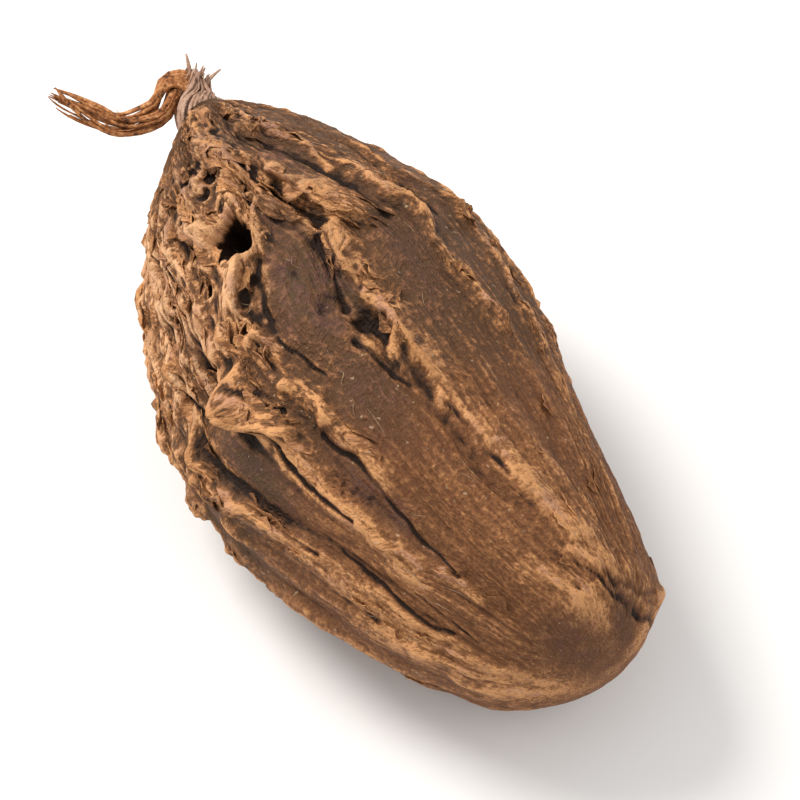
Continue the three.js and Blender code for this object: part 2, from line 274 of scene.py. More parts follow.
ridgeShape = {
    "crestWidth": 0.65, "leanShare": 0.4,
    "furrowAway": 0.95, "furrowWidth": 0.45, "furrowShare": 0.5,
    "overhang": 0.45,  # how far a leaning crest is pushed over its steep side, as a share of its height
    "edgeWidth": 0.20, "edgeShare": 0.45,  # sharp line along a crest
    "calmFrom": -1.0, "calmTo": 6.0,  # mm along x, where the torn half passes into the calm stalk half
    "calmWidth": 0.35, "calmFurrow": 0.3,  # crests grow wider by this share there, furrows shallower
    "calmEdge": 0.85,  # and their sharp lines fade by this share
    "topWidth": 0.85, "pushWidth": 0.6,  # widths of the rounded top and of the overhang, as shares
    "paleFrom": 0.12, "paleTo": 0.5,  # mm of height over which a crest turns pale
    "foldLean": 0.45,  # how much a full lean narrows the steep side of a fold
}
crackShape = {
    "calmWidth": 0.3, "calmDepth": 0.55,  # shares that cracks lose in the calm half
    # darkness: strength of the painted shade laid into the cracks
    "crestLoss": 0.8, "darkness": 0.6,
}
# darkReach, darkSteepness and darkness shape the painted shade in and round each pit
pitShape = {"steepness": 4, "darkReach": 1.2, "darkSteepness": 6, "darkness": 1.3}

# Single swellings, and hollows below zero: x, angle, radius, height
spots = [
    (-9.5, 176, 0.8, 0.4),  # nodule on the left shoulder
    (-7.3, 113.5, 0.8, -1.7),  # deep hole
    (-1.6, 107, 1.3, 0.2),  # low oval bump
    (0.9, 91, 0.6, 0.4),  # lump beside the crown ridge
    (0.3, 8, 1.2, 0.2),  # corner of the right outline
    (-3.3, 143, 0.8, -0.6),  # ragged furrow, upper end
    (-2.0, 149, 0.9, -0.7),  # ragged furrow, lower end
    (15.2, 335, 1.4, -0.7),  # stalk scar
]
crust = {"height": 0.25, "middleAngle": 150, "halfAngle": 42, "fromX": -14.5, "toX": -1.5, "edge": 3}
degreeLength = 0.14  # length of one degree round the belly
restSpot = {"angle": 270, "radius": 3.0, "height": 0.5}  # swelling that the floor cuts flat

# Finer folds that ride on the ridges: half width, height, lean, then the x and angle of the points on the way
folds = [
    (0.60, 0.65, 0.3, [(-16.2, 112), (-14.1, 109), (-12.5, 104.5), (-11.0, 103.5), (-10.1, 105.5),
                       (-9.5, 109)]),  # neck to hole
    (0.35, 0.30, 0.0, [(-11.2, 98), (-10.4, 95)]),
    (0.30, 0.35, 0.0, [(-13.1, 88.5), (-12.1, 79), (-10.9, 72.5), (-9.6, 71), (-8.3, 70)]),  # right shoulder
    (0.42, 0.45, 0.0, [(-10.0, 132), (-8.7, 125), (-7.6, 122), (-6.8, 120.5)]),  # left rim of the hole
    (0.26, 0.45, 0.0, [(-7.9, 104.0), (-6.8, 105.5), (-5.9, 107.5)]),  # right rim of the hole
    (0.45, 0.50, -0.6, [(-6.4, 112), (-6.1, 118), (-5.2, 121), (-4.0, 124)]),  # curled lobe
    (0.55, 0.35, 1.0, [(-9.0, 90), (-8.1, 86), (-7.0, 80), (-5.7, 76)]),  # lifted flake
    (0.45, 0.12, 0.4, [(-5.7, 83), (-4.4, 86.5), (-3.2, 88)]),
    (0.38, 0.35, 0.0, [(-12.8, 113), (-12.0, 117), (-11.2, 121)]),
    (0.30, 0.40, 0.0, [(-1.9, 131.5), (-2.7, 125.5), (-2.4, 120), (-1.4, 117)]),  # arch
    (0.40, 0.40, 1.0, [(-1.6, 136), (-0.6, 138), (0.3, 134), (1.5, 131)]),  # torn fold
    (0.34, 0.40, 0.0, [(0.1, 121.5), (0.8, 116.5), (1.6, 115.5), (2.4, 118)]),
    (0.32, 0.40, 0.0, [(0.8, 138), (1.2, 137.5)]),
    (0.42, 0.25, 0.6, [(2.3, 116.5), (3.6, 115.5), (4.8, 115.5), (6.1, 116.5)]),
    (0.40, 0.38, 1.0, [(-1.2, 86), (-0.2, 83), (0.8, 84), (1.4, 88)]),
    (0.40, 0.30, 0.5, [(1.4, 83), (2.4, 82), (4.5, 83.5)]),
    (0.80, 0.16, -0.8, [(5.5, 132), (7.5, 131), (9.5, 132)]),
    (0.85, 0.20, -0.8, [(7, 160), (9, 161), (11.5, 162)]),
    (0.80, 0.20, 0.3, [(5.6, 79), (7.0, 76.5), (8.8, 72.5), (10.3, 70), (12.1, 64),
                       (14.0, 59)]),  # crown ridge
    (0.60, 0.25, 0.0, [(12.2, 98), (13.6, 90), (14.8, 82)]),
    (0.24, 0.22, 0.0, [(12.2, 75), (13.2, 70), (14.2, 65)]),
    (0.30, 0.16, 0.0, [(10.2, 123.5), (11.8, 124.3)]),
    (0.32, 0.25, -0.5, [(9.5, 166), (12.7, 163.5), (14.2, 166)]),
    (0.30, 0.28, -0.3, [(12.4, 156), (13.5, 157), (14.4, 157.5), (15.3, 161)]),  # bright lines by the stalk
    (0.40, 0.28, 0.0, [(12.8, 177), (14.0, 179.5), (15.3, 180)]),
    (0.50, 0.55, 0.0, [(14.1, -2), (14.5, 8)]),  # lumps on the rim of the stalk scar
    (0.40, 0.55, 0.0, [(15.1, 352), (15.3, 338)]),
    (0.40, 0.50, 0.0, [(15.2, 322), (15.5, 300)]),
    (0.36, 0.60, 0.0, [(15.5, 22), (15.6, 2)]),
]
# The darkness of each crack is painted shade, laid into the colour along its way.
cracks = [  # half width, depth, darkness, way
    (0.15, 0.45, 0.7, [(0.1, 136.5), (1.1, 133.5), (1.9, 134), (2.8, 136.5), (3.7, 136.5), (5.0, 135),
                       (6.3, 132.5)]),
    (0.13, 0.30, 0.6, [(-1.7, 134.5), (-0.4, 131.8), (0.8, 126.5)]),
    (0.18, 0.35, 0.7, [(2.7, 121), (4.3, 118.5), (5.9, 118), (7.5, 119.5), (8.7, 120.3), (9.6, 119.6),
                       (10.7, 121.8)]),
    (0.14, 0.30, 0.6, [(2.8, 160.5), (4.1, 159), (5.8, 156)]),
    (0.16, 0.30, 0.7, [(-2.9, 168), (-2.6, 178), (-2.4, 187)]),
    (0.11, 0.20, 0.5, [(-2.0, 115.5), (-1.1, 113.5), (-0.3, 111.5), (0.7, 109)]),
    (0.34, 0.60, 1.0, [(-3.6, 138), (-2.8, 144.5), (-1.9, 147.5), (-1.0, 149)]),
    (0.30, 0.30, 0.8, [(-5.9, 110), (-4.4, 112.5), (-3.2, 114.5), (-2.4, 116)]),
    (0.15, 0.38, 0.4, [(6.5, 147.5), (8, 148), (9.2, 149), (10.3, 150), (11.8, 149.5)]),
    (0.32, 0.60, 1.0, [(-8.6, 94.5), (-7.3, 91.5), (-6.4, 88.5), (-5.7, 86)]),
    (0.18, 0.30, 0.5, [(-5.2, 91), (-4.2, 92.5), (-2.6, 94), (-1.4, 94)]),
    (0.20, 0.35, 0.6, [(0.2, 97), (1.6, 92.5), (3.0, 90)]),
    (0.20, 0.26, 0.9, [(4.6, 82.5), (5.5, 81.8), (6.5, 81.2), (7.2, 81.5), (8.4, 78.8)]),
    (0.18, 0.28, 0.8, [(12.0, 82), (12.6, 79), (13.4, 74.4), (14.3, 69)]),
    (0.30, 1.30, 0.9, [(14.9, 44), (15.1, 30), (15.0, 18), (15.2, 2), (15.3, -12)]),  # stalk end
    (0.42, 0.80, 0.7, [(13.5, 67), (14.3, 63), (14.9, 56)]),
    (0.24, 1.10, 0.8, [(14.6, 318), (15.6, 310)]),
    (0.10, 0.18, 0.5, [(9.9, 139), (11.4, 142), (12.8, 146.7)]),
    (0.20, 0.25, 0.5, [(13.0, 169), (14.4, 169), (15.3, 171)]),
    (0.20, 0.30, 0.4, [(-8, 160), (-5.5, 164), (-3.5, 160), (-2, 156)]),
    (0.20, 0.30, 0.5, [(-13.6, 101), (-11.8, 97), (-9.6, 99), (-8.8, 101)]),
    (0.30, 0.22, 0.3, [(-11, 84), (-9, 74), (-7, 70), (-5, 66)]),
    (0.26, 0.25, 0.3, [(-8, 50), (-6, 45), (-5, 42), (-3, 40)]),
    (0.20, 0.20, 0.3, [(13.9, 62), (14.4, 40), (14.2, 18)]),
]
pits = [  # x, angle, radius, depth
    (-7.45, 115.0, 0.88, 1.30), (-8.4, 104, 0.35, 0.45), (-9.2, 102.5, 0.32, 0.50), (-9.3, 112, 0.30, 0.35),
    (-12.2, 119, 0.45, 0.40), (-11.4, 112.5, 0.38, 0.40), (-12.3, 125, 0.34, 0.35), (-10.6, 118, 0.26, 0.35),
    (-5.5, 163, 0.28, 0.35), (-3.8, 163, 0.28, 0.35), (-2.7, 142, 0.30, 0.50), (-10.4, 131, 0.26, 0.30),
    (-7.6, 148, 0.22, 0.30), (-6.2, 130, 0.22, 0.30), (-2.0, 98, 0.50, 0.18), (-0.4, 92, 0.40, 0.22),
]

# Patches of darker face: x, angle, reach along, reach across, strength
darkFaces = [
    (-3.2, 100, 3.4, 2.0, 1.0), (-7.0, 99, 1.4, 0.8, 0.8), (1.5, 150, 3.0, 1.1, 0.9),
    (-10.0, 80, 3.0, 1.2, 0.8), (-2.5, 68, 4.0, 1.6, 0.5), (6.0, 121, 3.2, 0.6, 0.8),
    (2.6, 101, 2.6, 1.3, 0.6), (-12.5, 96, 2.0, 1.3, 0.7), (-4.5, 42, 3.0, 0.9, 0.6),
    (0.5, 196, 3.5, 1.6, 0.5), (-4.5, 143, 1.2, 0.8, 0.5), (-11.3, 127, 2.4, 1.4, 0.6),
    (15.0, 110, 1.1, 1.3, 0.6), (14.7, 58, 1.1, 0.9, 0.8),
]
# Patches of paler, more tan skin, given the same way
tanPatches = [
    (-7.6, 80, 1.6, 0.9, 0.35), (-4.2, 87, 2.0, 0.8, 0.50), (-0.4, 132, 1.5, 0.8, 0.30),
    (3.0, 161, 3.0, 0.6, 0.20), (4.4, 114, 1.6, 0.5, 0.25), (7.6, 96, 0.6, 0.3, 0.30),
    (8.4, 130, 2.4, 0.7, 0.25), (10.5, 70, 3.6, 0.7, 0.22), (14.2, 88, 1.1, 0.7, 0.40),
    (14.8, 178, 1.5, 1.2, 0.40), (9.5, 170, 3.5, 0.9, 0.15), (-12.4, 103, 2.2, 0.7, 0.50),
    (-11.2, 76, 2.2, 0.6, 0.35), (-8.0, 50, 2.4, 0.6, 0.30), (-3.6, 86, 2.4, 0.6, 0.20),
]

# Mesh: ridges seen from above get more columns than those below
huskMesh = {
    "rows": 252, "seenRidges": 11, "seenColumns": 28, "underColumns": 12,
    "denseTo": 2.0, "denseShare": 0.62,  # the flower half has closer rows
    "capShare": 0.13,  # share of the rows on the round stalk end
    "hollowReach": {"fineHollow": 2, "wideHollow": 9},  # grid points over which a hollow is measured
    "hollowScale": 0.02,  # mm for each grid point of that reach
    "placeReach": 2, "broadReach": 11, "normalReach": 4,  # grid points that even it under flakes
    "mergeDistance": 1e-5,
}


def readAlong(rows, column, x):
    table = np.array(rows, float)
    at, values = table[:, 0], table[:, column]
    slopes = np.gradient(values, at)
    slopes[1:-1] = (values[2:] - values[:-2]) / (at[2:] - at[:-2])
    x = np.clip(x, at[0], at[-1])
    i = np.clip(np.searchsorted(at, x) - 1, 0, len(at) - 2)
    run = at[i + 1] - at[i]
    t = (x - at[i]) / run
    ease = t * t * (3 - 2 * t)
    leaving = run * slopes[i] * t * (1 - t) ** 2
    arriving = run * slopes[i + 1] * t * t * (1 - t)
    return values[i] + ease * (values[i + 1] - values[i]) + leaving - arriving


def smoothStep(x, low, high):
    t = np.clip((x - low) / (high - low), 0, 1)
    return t * t * (3 - 2 * t)


def hill(distance, width):
    return np.exp(-((distance / width) ** 2))


def acrossFrom(start, angle, radius):
    return np.radians((angle - start + 180) % 360 - 180) * radius


# Smooth lattice noise between -1 and 1, the same on every run
def fieldNoise(points, seed):
    base = np.floor(points).astype(np.int64)
    part = points - base
    part = part * part * (3 - 2 * part)
    total = np.zeros(points.shape[:-1])
    for corner in np.ndindex(2, 2, 2):
        cell = base + np.array(corner)
        mixed = cell[..., 0] * 73856093 ^ cell[..., 1] * 19349663 ^ cell[..., 2] * 83492791 ^ seed * 2654435
        mixed = (mixed ^ (mixed >> 13)) * 1274126177 & 0xFFFFFFFF
        mixed = (mixed ^ (mixed >> 16)) & 0xFFFF
        share = np.prod(np.where(np.array(corner) == 1, part, 1 - part), axis=-1)
        total += share * (mixed / 32767.5 - 1)
    return total


def layeredNoise(points, seed, layers):
    total = np.zeros(points.shape[:-1])
    for layer in range(layers):
        total += fieldNoise(points * 2.03 ** layer, seed + layer) * 0.5 ** layer
    return total


# Waves of the skin: how close they stand along and across the pod, seed and number of layers
waves = {
    "bend": (0.9, 0.9, 11, 2), "fineBend": (3.0, 3.0, 13, 2), "shift": (1.1, 1.1, 21, 3),
    "strength": (0.8, 0.4, 31, 3), "broken": (1.3, 1.6, 35, 2), "patchy": (0.7, 0.6, 37, 2),
    "worn": (0.5, 0.9, 39, 3), "net": (0.9, 2.4, 41, 3), "scales": (0.32, 0.75, 43, 2),
    "gaps": (0.6, 1.5, 45, 3), "lumps": (2.6, 3.8, 51, 3), "crustLumps": (0.8, 1.1, 55, 2),
    "broad": (0.22, 0.5, 61, 2), "folds": (0.28, 1.3, 71, 3), "fibres": (0.5, 4.0, 81, 2),
    "grit": (5.0, 5.0, 91, 2), "tan": (0.3, 0.9, 101, 3),
}
# Masks made of them: middle, swing, least and most
uneven = {"broken": (0.6, 1.2, 0, 1), "patchy": (0.75, 0.6, 0.3, 1.2), "worn": (0.6, 0.7, 0, 1)}


def wave(name, flow):
    along, across, seed, layers = waves[name]
    return layeredNoise(flow * (along, across, across), seed, layers)


def unevenMask(name, flow):
    middle, swing, least, most = uneven[name]
    return np.clip(middle + swing * wave(name, flow), least, most)


def creases(name, flow):  # 1 on sharp lines of a net, falling away between them
    return 1 - np.abs(wave(name, flow)) * 2


# Places of the rows along the pod: close in the flower half, then round the stalk end
def rowPlaces():
    share = np.linspace(0, 1, huskMesh["rows"])
    bodyShare = 1 - huskMesh["capShare"]
    straight = huskForm["baseX"] - huskForm["capLength"] - huskForm["apexX"]
    dense = huskMesh["denseTo"] - huskForm["apexX"]
    body = np.interp(share / bodyShare, [0, huskMesh["denseShare"], 1], [0, dense, straight])
    turn = np.clip((share - bodyShare) / huskMesh["capShare"], 0, 1) * (1 - huskForm["endRadius"])
    return huskForm["apexX"] + body + huskForm["capLength"] * np.sin(math.pi / 2 * turn)


# Angle, height and lean of every ridge, those below by the same rule as on the solid
def ridgesAt(x):
    angles = [readAlong(rows, 1, x) for rows in ridges]
    heights = [readAlong(rows, 2, x) for rows in ridges]
    leans = [readAlong(rows, 3, x) for rows in ridges]
    for k in range(underRidges["count"]):
        phase = 2.4 * k
        sway = np.sin(0.32 * x + phase) + 0.4 * np.sin(1.1 * x + 2 * phase)
        teeth = 0.75 + 0.3 * np.sin(1.9 * x + phase) + 0.2 * np.sin(3.1 * x + 3 * phase)
        wing = 1 - 0.55 * smoothStep(x, 0, 12)
        angles.append(underRidges["firstAngle"] + underRidges["step"] * k + underRidges["sway"] * sway)
        heights.append(underRidges["height"] * teeth * wing)
        leans.append(0.6 * np.sin(0.5 * x + 2 * phase))
    return [np.array(found) for found in (angles, heights, leans)]


# Angle of every column at each place along the pod, following the ridges
def columnAngles(ridgeAngles):
    columns = []
    for k in range(len(ridgeAngles)):
        count = huskMesh["seenColumns"] if k < huskMesh["seenRidges"] else huskMesh["underColumns"]
        here = ridgeAngles[k]
        after = ridgeAngles[k + 1] if k + 1 < len(ridgeAngles) else ridgeAngles[0] + 360
        for c in range(count):
            columns.append(here + (after - here) * c / count)
    return np.array(columns).T


# Distance from a way over the surface, with the side that a point is on
def fromWay(way, x, angle, radius):
    nearest = np.full(angle.shape, 1e3)
    side = np.zeros(angle.shape)
    for (startX, startAngle), (endX, endAngle) in zip(way, way[1:]):
        alongX = x - startX
        alongS = acrossFrom(startAngle, angle, radius)
        runX = endX - startX
        runS = np.radians(endAngle - startAngle) * radius
        t = np.clip((alongX * runX + alongS * runS) / (runX * runX + runS * runS), 0, 1)
        offX = alongX - t * runX
        offS = alongS - t * runS
        distance = np.hypot(offX, offS)
        closer = distance < nearest
        nearest = np.where(closer, distance, nearest)
        side = np.where(closer, np.sign(offS), side)
    return nearest, side


skin = {
    "bend": 0.15, "fineBend": 0.06,  # mm that crests waver to the side
    "shift": 0.2,  # mm that they waver along the pod
    "strength": 0.95, "swing": 0.4, "calmSwing": 0.15,  # how uneven the height of the crests is
    "scales": 0.24, "net": 0.07, "gaps": 0.38, "lumps": 0.08,  # mm, where the skin is wrinkled
    "crustCalm": 0.55,  # share of the fine wrinkles that the crust lacks
    "crustLumps": 0.16,  # mm, broad lumps that it has instead
    "broad": 0.10, "folds": 0.09, "fibres": 0.022, "grit": 0.020,  # mm, everywhere
    "creaseLevel": 0.4,  # height on a crease net that leaves the skin where it is
    "gapFrom": 0.3, "gapMost": 0.6,
    "apexWrinkled": 0.6, "apexFrom": -13, "apexTo": -6,  # wrinkles of the flower end, fading along x
    "crestWrinkled": 0.75, "crestCalm": 0.75, "foldSmooth": 0.45,
}


def fromSpot(spotX, spotAngle, x, angle, radius):
    return np.hypot(x - spotX, acrossFrom(spotAngle, angle, radius))


# Everything that stands above or below the plain section, in mm, with the masks that the colours need
def huskRelief(x, angle, radius, flow, found):
    ridgeAngles, ridgeHeights, ridgeLeans = found
    shape = angle.shape
    lift = np.zeros(shape)
    push = np.zeros(shape)  # along the surface towards larger angles
    crest = np.zeros(shape)
    calm = smoothStep(x, ridgeShape["calmFrom"], ridgeShape["calmTo"])
    torn = 1 - calm
    bend = skin["bend"] * wave("bend", flow) + skin["fineBend"] * torn * wave("fineBend", flow)
    bentX = x + skin["shift"] * wave("shift", flow) * torn
    bentAngle = angle + np.degrees(bend / radius)
    strength = skin["strength"] + (skin["swing"] - skin["calmSwing"] * calm) * wave("strength", flow)
    broken = unevenMask("broken", flow) * (1 - ridgeShape["calmEdge"] * calm)
    patchy = unevenMask("patchy", flow)
    wornBelow = unevenMask("worn", flow)
    overhang = ridgeShape["overhang"] * torn
    furrowShare = ridgeShape["furrowShare"] * (1 - ridgeShape["calmFurrow"] * calm)
    wider = 1 + ridgeShape["calmWidth"] * calm
    for k in range(len(ridgeAngles)):
        across = acrossFrom(ridgeAngles[k][:, None], bentAngle, radius)
        lean = ridgeLeans[k][:, None]
        height = ridgeHeights[k][:, None] * strength
        width = ridgeShape["crestWidth"] * (1 - ridgeShape["leanShare"] * lean * np.sign(across)) * wider
        top = hill(across, width * ridgeShape["topWidth"])
        edge = np.exp(-np.abs(across) / ridgeShape["edgeWidth"]) * broken * ridgeShape["edgeShare"]
        away = across - np.sign(lean) * ridgeShape["furrowAway"]
        dip = furrowShare * np.abs(lean) * hill(away, ridgeShape["furrowWidth"])
        lift += height * (top * (1 - 0.5 * ridgeShape["edgeShare"]) + edge - dip)
        push += height * lean * overhang * hill(across, width * ridgeShape["pushWidth"])
        worn = 1 if k < huskMesh["seenRidges"] else wornBelow
        pale = smoothStep(height, ridgeShape["paleFrom"], ridgeShape["paleTo"])
        crest = np.maximum(crest, top * pale * worn)
    folded = np.zeros(shape)
    for width, height, lean, way in folds:
        distance, side = fromWay(way, bentX, bentAngle, radius)
        top = hill(distance, width * (1 - ridgeShape["foldLean"] * lean * side))
        folded = np.maximum(folded, top)
        edge = np.exp(-distance / ridgeShape["edgeWidth"]) * broken * ridgeShape["edgeShare"]
        lift += height * (top * (1 - 0.5 * ridgeShape["edgeShare"]) + edge) * strength
        push += height * lean * overhang * hill(distance, width * ridgeShape["pushWidth"])
        crest = np.maximum(crest, top)
    # The deep mask is painted shade: darkness laid into the colour of cracks, pits and the gaps between
    # wrinkles.
    deepShade = np.zeros(shape)
    for width, depth, darkness, way in cracks:
        distance, side = fromWay(way, bentX, bentAngle, radius)
        inside = hill(distance, width * (1 - crackShape["calmWidth"] * calm) * patchy)
        lift -= depth * (1 - crackShape["calmDepth"] * calm) * patchy * inside
        crest = crest * (1 - crackShape["crestLoss"] * inside)
        deepShade = np.maximum(deepShade, crackShape["darkness"] * darkness * patchy * inside)
    for spotX, spotAngle, spotRadius, height in spots:
        lift += height * hill(fromSpot(spotX, spotAngle, bentX, bentAngle, radius), spotRadius)
    for spotX, spotAngle, spotRadius, depth in pits:
        away = fromSpot(spotX, spotAngle, bentX, bentAngle, radius) / spotRadius
        lift -= depth * np.exp(-(away ** pitShape["steepness"]))
        shade = np.exp(-((away / pitShape["darkReach"]) ** pitShape["darkSteepness"]))
        deepShade = np.maximum(deepShade, pitShape["darkness"] * shade * min(1, depth))

    begun = smoothStep(x, crust["fromX"], crust["fromX"] + crust["edge"])
    ended = smoothStep(x, crust["toX"] - crust["edge"], crust["toX"])
    turned = (angle - crust["middleAngle"] + 180) % 360 - 180
    crusted = begun * (1 - ended) * hill(turned, crust["halfAngle"])
    s = angle * degreeLength
    net = np.sin(1.9 * x + 1.1 * np.sin(1.3 * s)) * np.sin(2.3 * s + 1.2 * np.sin(0.9 * x + 1))
    lift += crust["height"] * crusted * net
    nearApex = skin["apexWrinkled"] * (1 - smoothStep(x, skin["apexFrom"], skin["apexTo"]))
    onCrests = skin["crestWrinkled"] * crest * (1 - skin["crestCalm"] * calm)
    wrinkled = np.clip(crusted + nearApex + onCrests, 0, 1) * (1 - skin["foldSmooth"] * folded)
    fine = wrinkled * (1 - skin["crustCalm"] * crusted)
    gaps = np.clip(wave("gaps", flow) - skin["gapFrom"], 0, skin["gapMost"])
    lift += wrinkled * skin["scales"] * (creases("scales", flow) - skin["creaseLevel"])
    lift += fine * skin["net"] * (creases("net", flow) - skin["creaseLevel"])
    lift -= fine * skin["gaps"] * gaps
    lift += fine * skin["lumps"] * wave("lumps", flow)
    lift += crusted * skin["crustLumps"] * wave("crustLumps", flow)
    for name in ("broad", "folds", "fibres", "grit"):
        lift += skin[name] * wave(name, flow)

    fromApex = smoothStep(x, huskForm["apexX"], huskForm["apexX"] + huskForm["fadeLength"]["apex"])
    fromBase = 1 - smoothStep(x, huskForm["baseX"] - huskForm["fadeLength"]["base"], huskForm["baseX"])
    baseShare = huskForm["fadeLength"]["baseShare"]
    fade = fromApex * (baseShare + (1 - baseShare) * fromBase) * np.minimum(1, radius)
    pressed = hill(np.hypot(x, acrossFrom(restSpot["angle"], angle, radius)), restSpot["radius"])
    lift = lift * fade * (1 - pressed) + restSpot["height"] * pressed
    push = push * fade * (1 - pressed)
    return lift, push, {"crest": crest, "crusted": crusted, "deepShade": deepShade + fine * gaps, "calm": calm}


# A mean over a square of the grid, which closes on itself round the pod
def gridMean(values, reach):
    total = values.copy()
    for step in range(1, reach + 1):
        total = total + np.roll(values, step, axis=1) + np.roll(values, -step, axis=1)
    total = total / (2 * reach + 1)
    padded = np.concatenate([np.repeat(total[:1], reach, 0), total, np.repeat(total[-1:], reach, 0)])
    rows = len(values)
    return sum(padded[step:step + rows] for step in range(2 * reach + 1)) / (2 * reach + 1)


def gridNormals(points):
    along = np.gradient(points, axis=0)
    around = np.roll(points, -1, axis=1) - np.roll(points, 1, axis=1)
    normals = np.cross(around, along)
    return normals / np.maximum(np.linalg.norm(normals, axis=2, keepdims=True), 1e-9)


# Strength of the strongest of the given patches at each point
def patchesOn(x, angle, radius, patches):
    found = np.zeros(angle.shape)
    for patchX, patchAngle, alongReach, acrossReach, strength in patches:
        off = np.hypot((x - patchX) / alongReach, acrossFrom(patchAngle, angle, radius) / acrossReach)
        found = np.maximum(found, strength * np.exp(-off ** 3))
    return found


tanShares = {
    "everywhere": 0.10, "stalkEnd": 0.17, "stalkFrom": 2, "stalkTo": 13,  # growing along x
    "crest": 0.66, "crestCalm": 0.1, "crusted": 0.55, "swing": 0.16, "dark": 0.3,
    "apex": 0.25, "apexFrom": -12, "apexTo": -6,  # less tan between the crests of the flower end
}


def tanOn(x, flow, masks, dark, pale):
    stalkEnd = smoothStep(x, tanShares["stalkFrom"], tanShares["stalkTo"])
    apex = 1 - smoothStep(x, tanShares["apexFrom"], tanShares["apexTo"])
    onCrests = (tanShares["crest"] - tanShares["crestCalm"] * masks["calm"]) * masks["crest"]
    tan = tanShares["everywhere"] + tanShares["stalkEnd"] * stalkEnd + onCrests
    tan = tan + tanShares["crusted"] * masks["crusted"] + pale
    tan += tanShares["swing"] * wave("tan", flow) - tanShares["dark"] * dark
    return tan - tanShares["apex"] * apex * (1 - masks["crest"])


def huskSurface():
    places = rowPlaces()
    found = ridgesAt(places)
    angle = columnAngles(found[0])
    flowAngle = np.radians(columnAngles(ridgesAt(np.array([0.0]))[0]))
    x = np.repeat(places[:, None], angle.shape[1], axis=1)
    reach = np.clip((x - huskForm["baseX"] + huskForm["capLength"]) / huskForm["capLength"], 0, 1)
    roundness = np.sqrt(1 - reach ** huskForm["capPower"])
    halfWidth = readAlong(sections, 1, x) * roundness
    halfHeight = readAlong(sections, 2, x) * roundness
    middleY, middleZ = readAlong(sections, 3, x), readAlong(sections, 4, x)
    radius = (halfWidth + halfHeight) / 2
    belly = 1 / (math.radians(1) / degreeLength)  # radius on which one degree has its length
    flow = np.stack([x, belly * roundness * np.cos(flowAngle), belly * roundness * np.sin(flowAngle)], axis=2)
    lift, push, masks = huskRelief(x, angle, np.maximum(radius, huskForm["leastRadius"]), flow, found)
    corners = 1 + huskForm["threeSided"] * np.cos(3 * np.radians(angle - huskForm["cornerAngle"]))
    cosine, sine = np.cos(np.radians(angle)), np.sin(np.radians(angle))
    y = middleY + (halfWidth * corners + lift) * cosine - push * sine
    z = middleZ + (halfHeight * corners + lift) * sine + push * cosine
    points = np.stack([x, y, np.maximum(z, huskForm["floorZ"])], axis=2)

    normals = gridNormals(points)
    # How far each point sinks below its neighbours, which the husk's colour uses for painted shade in hollows
    for name, size in huskMesh["hollowReach"].items():
        mean = gridMean(points, size)
        masks[name] = np.sum((mean - points) * normals, axis=2) / (huskMesh["hollowScale"] * size)
    dark, pale = [patchesOn(x, angle, radius, patches) for patches in (darkFaces, tanPatches)]
    masks.update(tan=tanOn(x, flow, masks, dark, pale), dark=dark)
    return places, angle, points, flow, masks


# The skin is a tube spun from a line of points, then every point is moved to its place on the husk
def makeHusk():
    places, angle, points, flow, masks = huskSurface()
    rows, columns = points.shape[:2]
    shape = bmesh.new()
    line = [shape.verts.new((row, 1, 0)) for row in range(rows)]
    edges = [shape.edges.new(pair) for pair in zip(line, line[1:])]
    bmesh.ops.spin(shape, geom=line + edges, cent=(0, 0, 0), axis=(1, 0, 0), dvec=(0, 0, 0),
                   angle=2 * math.pi, steps=columns, use_merge=True)
    bmesh.ops.remove_doubles(shape, verts=shape.verts[:], dist=huskMesh["mergeDistance"])
    bmesh.ops.holes_fill(shape, edges=[edge for edge in shape.edges if edge.is_boundary], sides=columns)
    mesh = bpy.data.meshes.new("huskSkin")
    shape.to_mesh(mesh)
    shape.free()
    spun = np.empty(len(mesh.vertices) * 3)
    mesh.vertices.foreach_get("co", spun)
    spun = spun.reshape(-1, 3)
    row = np.rint(spun[:, 0]).astype(int)
    turn = np.arctan2(spun[:, 2], spun[:, 1]) / (2 * math.pi)
    column = np.rint(turn * columns).astype(int) % columns
    mesh.vertices.foreach_set("co", (points[row, column] * mm).ravel())
    for name, values in masks.items():
        layer = mesh.attributes.new(name, "FLOAT", "POINT")
        layer.data.foreach_set("value", values[row, column].astype(np.float32))
    layer = mesh.attributes.new("flow", "FLOAT_VECTOR", "POINT")
    layer.data.foreach_set("vector", flow[row, column].astype(np.float32).ravel())
    mesh.shade_smooth()
    shape = bmesh.new()
    shape.from_mesh(mesh)
    bmesh.ops.recalc_face_normals(shape, faces=shape.faces[:])
    shape.to_mesh(mesh)
    shape.free()
    mesh.update()
    husk = bpy.data.objects.new("husk_skin", mesh)
    bpy.context.scene.collection.objects.link(husk)
    fields = {"flow": flow, **masks}
    fields["place"] = gridMean(points, huskMesh["placeReach"])
    fields["broadPlace"] = gridMean(points, huskMesh["broadReach"])
    fields["normal"] = gridNormals(gridMean(points, huskMesh["normalReach"]))
    return husk, {"x": places, "angle": angle, "fields": fields}


